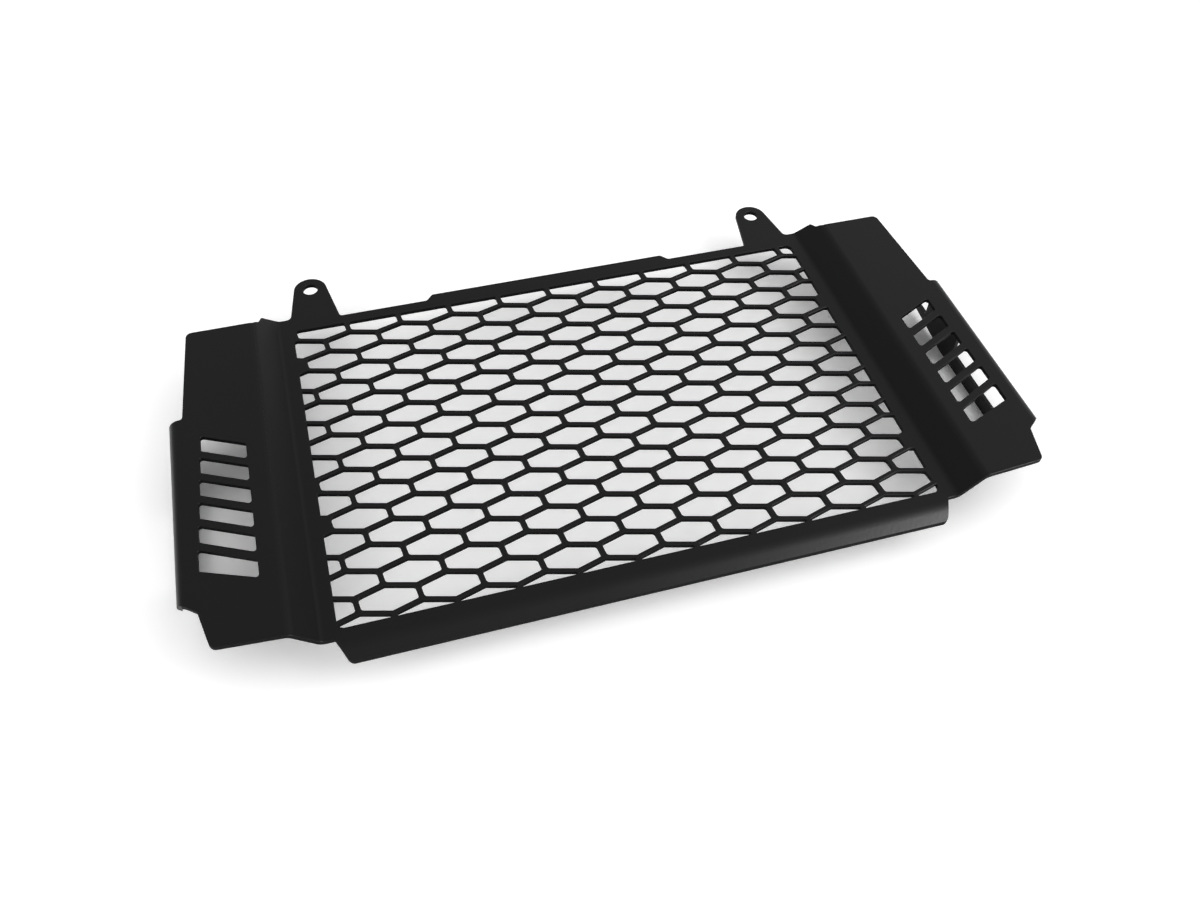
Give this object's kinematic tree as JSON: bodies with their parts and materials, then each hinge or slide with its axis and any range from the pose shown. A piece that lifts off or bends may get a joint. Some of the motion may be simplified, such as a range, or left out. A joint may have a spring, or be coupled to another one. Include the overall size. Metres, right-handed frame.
{
  "type": "radiator grille",
  "caption": "Folded sheet grille for a motorbike radiator: flat panel of leaning hexagon mesh, raised side wings with slanted slots, side flanges, fixing ears and a bent front lip.",
  "frame": {"origin": "middle of the plan, on the plane that the feet of the side flanges stand on", "axes": "+X to the right along the width of the mesh window, +Y towards the ears, +Z out of the face, away from the radiator"},
  "size_m": [0.358, 0.2102, 0.03],
  "materials": {
    "powder_coat": "satin black powder coat on aluminium sheet"
  },
  "bodies": {
    "root": {"radiator_grille": "powder_coat"}
  },
  "joints": []
}
